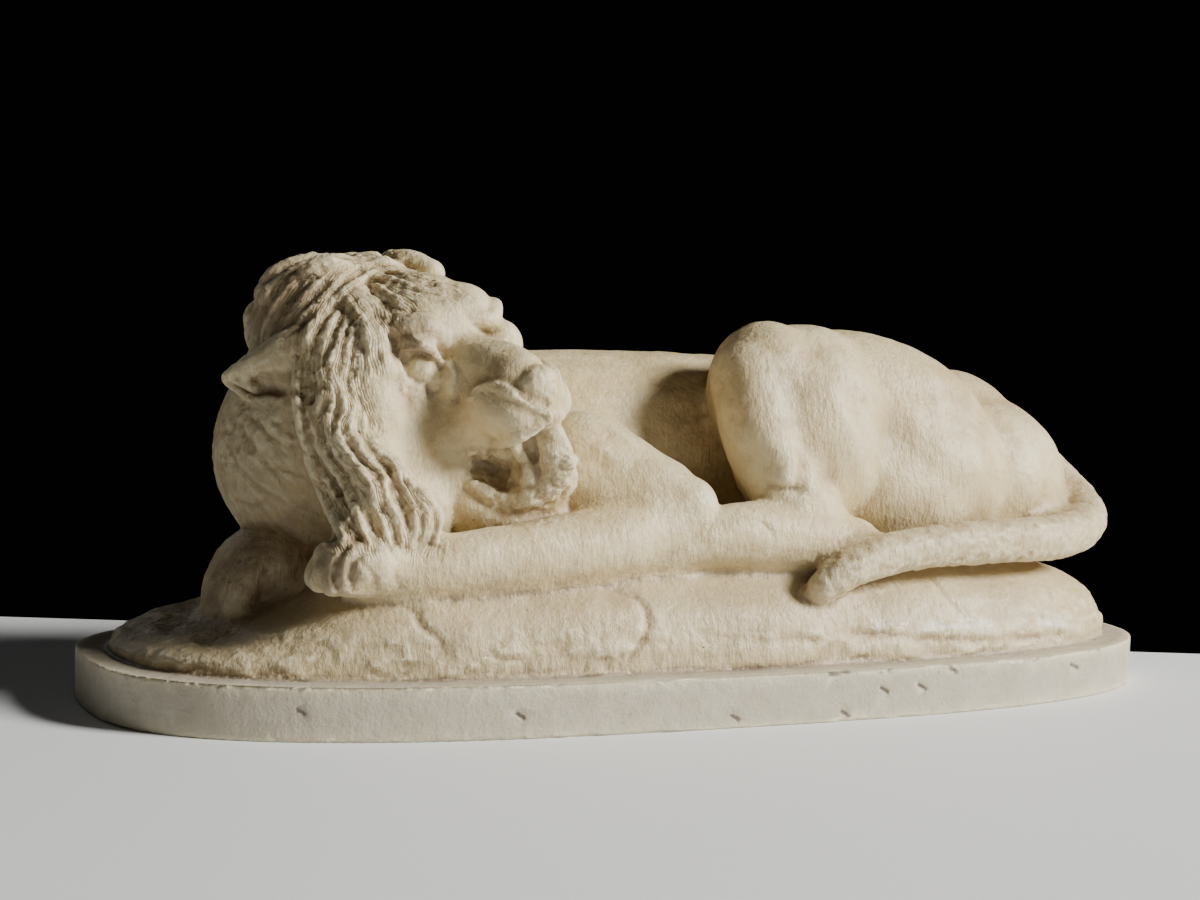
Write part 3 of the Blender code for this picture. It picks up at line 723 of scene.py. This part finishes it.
HAUNCH_HOLLOWS = (
    [(800, 340, 6.0, 0.7), (840, 385, 6.0, 1.4), (885, 430, 7.0, 2.0), (930, 466, 7.0, 1.6),
     (975, 500, 6.0, 0.6)],
    [(900, 404, 4.0, 0.6), (935, 406, 4.0, 0.9), (965, 400, 4.0, 0.5)],
    [(930, 380, 6.0, -0.9), (936, 382, 6.0, -0.9)],
    [(836, 386, 3.5, -0.9), (846, 420, 4.0, -0.9), (862, 460, 4.0, -0.7), (866, 486, 3.0, -0.4)],
    [(828, 452, 2.6, 0.4), (828, 476, 2.6, 0.7), (818, 500, 2.6, 0.5)],
    [(804, 446, 2.6, 0.8), (802, 468, 2.8, 1.5), (796, 486, 2.4, 1.2)],
    [(770, 440, 4.5, -0.5), (788, 462, 4.5, -1.0), (786, 476, 3.5, -0.8)],
    [(770, 486, 1.6, 0.8), (790, 489, 1.6, 1.2), (806, 490, 1.6, 0.7)],
    [(762, 522, 0.9, 0.5), (772, 532, 0.9, 0.6)],
)
ROCK_CRACKS = (
    [(404, 604, 1.0, 0.3), (416, 613, 1.3, 0.9), (422, 626, 1.4, 1.2), (436, 636, 1.3, 0.9),
     (444, 650, 1.1, 0.4)],
    [(606, 586, 1.6, 0.4), (636, 596, 1.4, 0.8), (648, 616, 1.4, 1.1), (642, 640, 1.2, 0.9),
     (624, 668, 1.2, 0.7)],
    [(931, 578, 0.9, 0.35), (946, 596, 0.9, 0.5), (960, 610, 0.9, 0.4)],
    [(700, 634, 1.2, 0.4), (760, 640, 1.2, 0.5), (820, 640, 1.2, 0.5)],
    [(856, 632, 1.4, 0.8), (900, 636, 1.4, 0.9), (960, 640, 1.4, 0.9), (1010, 640, 1.4, 0.8),
     (1060, 634, 1.4, 0.7)],
    [(1018, 560, 1.4, 0.4), (1040, 584, 1.4, 0.6), (1052, 600, 1.4, 0.4)],
)
TAIL_ROOT = [(1055, 470, 3.0, 0.6), (1048, 490, 3.0, 1.0), (1036, 508, 2.4, 0.6)]
CREASE_REACH = 2.2
for rows in (*EAR_AND_NECK, *FACE_CREASES, *TOE_CREASES, *HAUNCH_HOLLOWS, *ROCK_CRACKS, TAIL_ROOT):
    path = traced(rows)
    chosen, away, step = near_path(points, path, CREASE_REACH * path[:, 3].max())
    depth[chosen] -= path[step, 4] * np.exp(-((away / path[step, 3]) ** 2))

# worn and broken stone: (across, down, radius, height of the breaks)
BREAKS = (
    (404, 352, 5, 0.5), (424, 352, 4, 0.5), (420, 392, 5, 0.35), (545, 372, 6, 0.4), (486, 462, 6, 1.0),
    (502, 476, 6, 1.2), (520, 470, 5, 0.8), (480, 480, 5, 0.9), (556, 470, 8, 0.7), (548, 492, 7, 0.6),
    (552, 420, 5, 0.6), (478, 456, 4, 0.9), (430, 330, 9, 0.2), (352, 330, 10, 0.35), (322, 400, 9, 0.35),
    (376, 470, 10, 0.3), (400, 515, 9, 0.35), (400, 290, 14, 0.22), (440, 290, 7, 0.3), (240, 380, 8, 0.4),
    (232, 580, 14, 0.35), (700, 430, 14, 0.3), (716, 470, 12, 0.35), (812, 588, 7, 0.35),
    (540, 500, 8, 0.8), (565, 488, 7, 0.9), (520, 504, 7, 0.7), (500, 498, 6, 0.6), (568, 462, 6, 0.8),
    (545, 472, 6, 0.6), (410, 350, 4, 0.9), (550, 388, 7, 0.35),
)
broken = np.zeros(count)
for u, v, radius, height in BREAKS:
    broken = np.maximum(broken, height * around(u, v, radius, 1.5))
depth += broken * (0.6 * uneven(points, 2.2, 3) + 0.6 * uneven(points, 1.3, 4) - 0.2)

# patina, and painted shade where the crest, the chest, the paws, the flank, the muzzle top
# and the left of the mound lie in shadow: (across, down, radius, strength)
STAINS_AND_SHADE = (
    (282, 298, 17, 1.0), (262, 322, 12, 1.0), (312, 290, 12, 0.7), (305, 318, 7, 0.8), (246, 350, 6, 0.5),
    (424, 325, 6, 0.6), (404, 344, 5, 0.7), (440, 335, 5, 0.4), (384, 318, 8, 0.4), (455, 300, 7, 0.4),
    (500, 355, 8, 0.55), (480, 372, 7, 0.4), (240, 570, 20, 0.9), (300, 560, 10, 1.0), (328, 574, 7, 0.7),
    (318, 408, 5, 0.4), (690, 420, 14, 0.5), (720, 460, 10, 0.5), (778, 380, 10, 0.4), (800, 400, 8, 0.4),
    (730, 380, 8, 0.3), (820, 470, 7, 0.3), (890, 440, 9, 0.3), (960, 400, 12, 0.3), (980, 520, 8, 0.4),
    (900, 528, 7, 0.4), (1070, 500, 9, 0.3), (810, 578, 8, 0.4), (990, 580, 14, 0.35), (620, 588, 7, 0.5),
    (510, 585, 8, 0.3), (275, 624, 6, 0.4), (450, 640, 7, 0.4), (420, 405, 6, 0.3), (140, 640, 16, 0.5),
    (244, 440, 15, 0.45), (252, 484, 16, 0.5), (300, 520, 10, 0.6), (218, 588, 12, 1.0), (262, 590, 12, 0.9),
    (860, 545, 7, 0.5), (950, 530, 8, 0.5), (1030, 530, 8, 0.45), (1084, 515, 8, 0.4), (836, 566, 6, 0.5),
    (328, 566, 10, 0.9), (348, 578, 10, 0.75), (370, 585, 8, 0.5), (412, 348, 4, 0.9), (496, 470, 5, 0.7),
    (508, 472, 5, 0.7), (530, 455, 3, 0.6), (420, 410, 8, 0.35), (790, 360, 14, 0.35), (1000, 400, 12, 0.3),
    (200, 640, 18, 0.35), (360, 600, 12, 0.3), (560, 600, 12, 0.3), (740, 600, 14, 0.3), (880, 588, 12, 0.35),
)
# patches of brown patina and of painted shade
stain_and_shade = np.zeros(count)
for u, v, radius, strength in STAINS_AND_SHADE:
    stain_and_shade = np.maximum(stain_and_shade, strength * around(u, v, radius, 1.4))

# the whole lion is a little uneven, and short hair is cut on it, deepest on the near side of the neck
HAIR_SLANT = np.array(((0.8, 0.0, -0.6), (0.0, 1.0, 0.0), (0.6, 0.0, 0.8)))
NECK = (262, 462)
NECK_RADIUS = 26.0
depth += lion * (0.20 * uneven(points, 9.0, 5) + 0.10 * uneven(points, 3.2, 6))
strands = uneven(points @ HAIR_SLANT.T * (0.22, 1.0, 1.0), 1.5, 18)
bristly = around(*NECK, NECK_RADIUS, 1.7)
depth += lion * (0.07 + 0.26 * bristly * (1.0 - hair)) * strands

# the tail is covered with short tufts, brown on top
TAIL = [
    (140, 2, 80), (157, -10, 64), (156, -30, 55), (134, -46, 51), (103, -56, 50), (70, -61, 49),
    (36, -67, 43),
]
TAIL_REACH = 13.0
TAIL_FADE = 10.0
chosen, away, step = near_path(points, smooth_path(TAIL, 6), TAIL_REACH)
furry = np.clip(1.3 - away / TAIL_FADE, 0.0, 1.0)
tufts = 0.5 * uneven(points[chosen] * (0.7, 1.0, 1.5), 2.6, 7) + 0.4 * uneven(points[chosen], 1.5, 22)
depth[chosen] += tufts * furry
browned = furry * np.clip(0.42 + 0.3 * normals[chosen, 2] - 0.3 * tufts, 0.0, 0.8)
stain_and_shade[chosen] = np.maximum(stain_and_shade[chosen], browned)

# the rock is cut in soft ledges, rougher low down
strata = uneven(points * (0.35, 0.35, 1.0), 4.5, 8) + 0.4 * uneven(points * (0.5, 0.5, 1.2), 2.2, 9)
low = np.clip((38.0 - points[:, 2]) / 14.0, 0.0, 1.0)
swells = 0.7 * uneven(points, 22.0, 10) + 0.35 * uneven(points, 8.0, 11) + 0.12 * uneven(points, 2.6, 12)
depth += rocky * swells
depth += rocky * low * (0.55 * np.tanh(2.5 * strata) + 0.22 * uneven(points * (1.0, 1.0, 0.45), 1.8, 13))

# a ledge on the right has flaked off not long ago; its white stone is also painted glints of light
FRESH_LEDGE = [(852, 628), (880, 624), (920, 628), (960, 622), (1000, 628), (1040, 618), (1068, 622)]
fresh_and_glint = np.zeros(count)
chosen, away, step = near_path(points, traced(FRESH_LEDGE), 6.0)
flakes_and_glints = uneven(points[chosen] * (0.5, 0.5, 1.0), 2.6, 19) + 0.5 * uneven(points[chosen], 1.2, 20) - 0.12
fresh_and_glint[chosen] = np.clip(flakes_and_glints, 0.0, 1.0) * np.clip(1.6 - away / 1.9, 0.0, 1.0)
depth += fresh_and_glint * (0.5 * uneven(points, 1.6, 21) - 0.3)

# the slab is chipped along its edge, and has short nicks (across, down) in its wall
NICKS = ((953, 670), (884, 690), (922, 687), (1074, 666), (845, 714), (735, 718), (520, 716), (300, 712))
rim = slab * np.clip(1.0 - abs(points[:, 2] - 15.2) / 1.5, 0.0, 1.0) * (normals[:, 2] < 0.95)
chips = rim * np.clip(uneven(points, 9.0, 14) + 0.7 * uneven(points, 1.5, 15) - 0.42, 0.0, 1.0)
for u, v in NICKS:
    chosen, away, step = near_path(points, traced([(u - 3, v - 2), (u + 4, v + 2)]), 0.9)
    chips[chosen] = np.maximum(chips[chosen], 0.5 * np.clip(1.3 - away / 0.6, 0.0, 1.0))
depth -= 0.9 * chips
depth += slab * (normals[:, 2] > -0.9) * 0.03 * uneven(points, 3.0, 16)

points += normals * depth[:, None]
block.vertices.foreach_set("co", (points * UNIT).ravel())

# how far each spot lies in a hollow, for the dirt that has settled there
links_of = np.bincount(edges.ravel(), minlength=count)[:, None]


def settled(values, rounds):
    """Values after each has been averaged with its neighbours a number of times."""
    values = values.copy()
    for _ in range(rounds):
        total = np.zeros_like(values)
        for axis in range(values.shape[1]):
            total[:, axis] += np.bincount(edges[:, 0], values[edges[:, 1], axis], count)
            total[:, axis] += np.bincount(edges[:, 1], values[edges[:, 0], axis], count)
        values = 0.3 * values + 0.7 * total / links_of
    return values


hollow_fine = ((settled(points, 4) - points) * normals).sum(axis=1)
hollow_wide = ((settled(points, 30) - points) * normals).sum(axis=1)
for name, values in (
    ("hollow", np.clip(0.5 + hollow_fine * 1.2 + hollow_wide * 0.25, 0.0, 1.0)),
    ("rock", rocky),
    ("slab", slab),
    ("hair", hair),
    ("comb", comb + wander),
    ("chips", np.clip(chips * 3.0, 0.0, 1.0)),
    ("broken", np.clip(broken, 0.0, 1.0)),
    ("stain_and_shade", stain_and_shade),
    ("fresh_and_glint", np.clip(fresh_and_glint * 3.0, 0.0, 1.0)),
):
    layer = block.attributes.new(name, "FLOAT", "POINT")
    layer.data.foreach_set("value", values)

# fewer facets where the stone is plain
TRIANGLES = 198000
ratio = min(1.0, TRIANGLES / (2 * len(block.polygons)))
block = shaped(
    block,
    ("DECIMATE", {"ratio": ratio, "use_collapse_triangulate": True}),
    ("WEIGHTED_NORMAL", {}),
)

# The marble
# Old white marble gone creamy: cleaner where hands have rubbed it, brown where dirt has settled,
# brown patina and painted shade on the crest, paws, chest and flank, greyer on the smooth slab,
# with a fine rasped grain, and white stone and painted glints on the freshly broken ledge.
CREAM = (0.71, 0.60, 0.365, 1)
HONEY = (0.64, 0.51, 0.275, 1)
TAN = (0.50, 0.36, 0.19, 1)
ROCK_BROWN = (0.53, 0.425, 0.25, 1)
SLAB_PALE = (0.50, 0.45, 0.345, 1)
SLAB_GREY = (0.42, 0.37, 0.275, 1)
DIRT = (0.33, 0.24, 0.15, 1)
RUBBED_CLEAN = (0.80, 0.72, 0.50, 1)
# the brown of the patina, used also as painted shade
PATINA_AND_SHADE = (0.22, 0.145, 0.075, 1)
BROKEN_STONE = (0.42, 0.31, 0.19, 1)
CHIPPED_RIM = (0.16, 0.12, 0.09, 1)
# the white of fresh stone, used also for painted glints
FRESH_STONE_AND_GLINT = (0.80, 0.745, 0.60, 1)
SPECKS = (0.16, 0.12, 0.08, 1)
sculpture = bpy.data.objects.new("marble_lion", block)
bpy.context.scene.collection.objects.link(sculpture)
for face in block.polygons:
    face.use_smooth = True
block.materials.clear()
marble = bpy.data.materials.new("old_marble")
marble.use_nodes = True
block.materials.append(marble)
nodes = marble.node_tree.nodes


def node(kind, inputs, **settings):
    """A new node of the marble: its settings, and a value or another node's output on each input."""
    made = nodes.new("ShaderNode" + kind)
    for name, value in settings.items():
        setattr(made, name, value)
    for name, value in inputs.items():
        if isinstance(value, bpy.types.NodeSocket):
            marble.node_tree.links.new(value, made.inputs[name])
        else:
            made.inputs[name].default_value = value
    return made.outputs


def share(name):
    """One of the carving's own layers."""
    return node("Attribute", {}, attribute_name=name)["Fac"]


def spread(value, low, high, start=0.0, end=1.0):
    """A value stretched from one range to another."""
    ranges = {"Value": value, "From Min": low, "From Max": high, "To Min": start, "To Max": end}
    return node("MapRange", ranges)[0]


def noise(scale, detail, rough=0.55, place=None):
    """A cloudy pattern of the stone, finer with a larger scale."""
    inputs = {"Scale": scale, "Detail": detail, "Roughness": rough, "Vector": place or where}
    return node("TexNoise", inputs)["Fac"]


def blend(amount, under, over, kind="MIX"):
    """One colour laid over another by an amount."""
    return node("MixRGB", {"Fac": amount, "Color1": under, "Color2": over}, blend_type=kind)[0]


def times(first, second):
    """Two values multiplied."""
    return node("Math", {0: first, 1: second}, operation="MULTIPLY")[0]


def plus(first, second):
    """Two values added."""
    return node("Math", {0: first, 1: second}, operation="ADD")[0]


# the colour, laid on from the clean stone up
where = node("TexCoord", {})["Object"]
cloudy = noise(34.0, 3.0)
mottled = noise(130.0, 6.0, 0.65)
speckled = noise(900.0, 3.0, 0.7)
stone = blend(spread(cloudy, 0.38, 0.62), CREAM, HONEY)
stone = blend(times(spread(mottled, 0.43, 0.66), 0.7), stone, TAN)
stone = blend(times(share("rock"), 0.65), stone, ROCK_BROWN)
grey = blend(spread(mottled, 0.35, 0.7), SLAB_PALE, SLAB_GREY)
stone = blend(share("slab"), stone, grey)
dirt = spread(plus(share("hollow"), times(mottled, 0.3)), 0.70, 1.10)
stone = blend(times(dirt, 0.7), stone, DIRT)
rubbed_clean = spread(share("hollow"), 0.47, 0.30)
stone = blend(times(rubbed_clean, 0.5), stone, RUBBED_CLEAN)
# the patina, partly painted shade on the parts that lie in shadow
patina_and_shade = times(share("stain_and_shade"), spread(mottled, 0.30, 0.60, 0.5, 1.0))
stone = blend(times(patina_and_shade, 0.85), stone, PATINA_AND_SHADE)
stone = blend(times(share("broken"), spread(speckled, 0.45, 0.65)), stone, BROKEN_STONE)
stone = blend(times(share("chips"), 0.8), stone, CHIPPED_RIM)
# white fresh stone on the ledge, partly painted glints
stone = blend(times(share("fresh_and_glint"), 0.9), stone, FRESH_STONE_AND_GLINT)
specks = spread(noise(420.0, 2.0, 0.5), 0.73, 0.78)
stone = blend(times(specks, 0.6), stone, SPECKS)

# the grain: rasp strokes, hair lines and small lumps
tooled = node("Mapping", {"Vector": where, "Rotation": (0.0, 0.6, 0.3), "Scale": (1.0, 1.0, 0.28)})[0]
strokes = noise(560.0, 3.0, 0.62, tooled)
hairs = node("Math", {0: times(share("comb"), 7.0)}, operation="SINE")[0]
rasped = times(strokes, spread(share("slab"), 0.0, 1.0, 0.85, 0.15))
height = plus(rasped, times(speckled, 0.35))
height = plus(height, times(times(hairs, share("hair")), 0.10))
height = plus(height, times(noise(260.0, 6.0, 0.6), 0.8))
bump = node("Bump", {"Strength": 0.75, "Distance": 0.0008, "Height": height})[0]
gloss = spread(plus(times(strokes, 0.5), times(mottled, 0.5)), 0.3, 0.7, 0.34, 0.58)
shader = nodes["Principled BSDF"]
for socket, value in (("Base Color", stone), ("Normal", bump), ("Roughness", gloss)):
    marble.node_tree.links.new(value, shader.inputs[socket])
shader.inputs["Subsurface Weight"].default_value = 0.25
shader.inputs["Subsurface Radius"].default_value = (1.0, 0.75, 0.5)
shader.inputs["Subsurface Scale"].default_value = 0.003
shader.inputs["IOR"].default_value = 1.5
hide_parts("lion_sculpture")
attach(sculpture, "root")
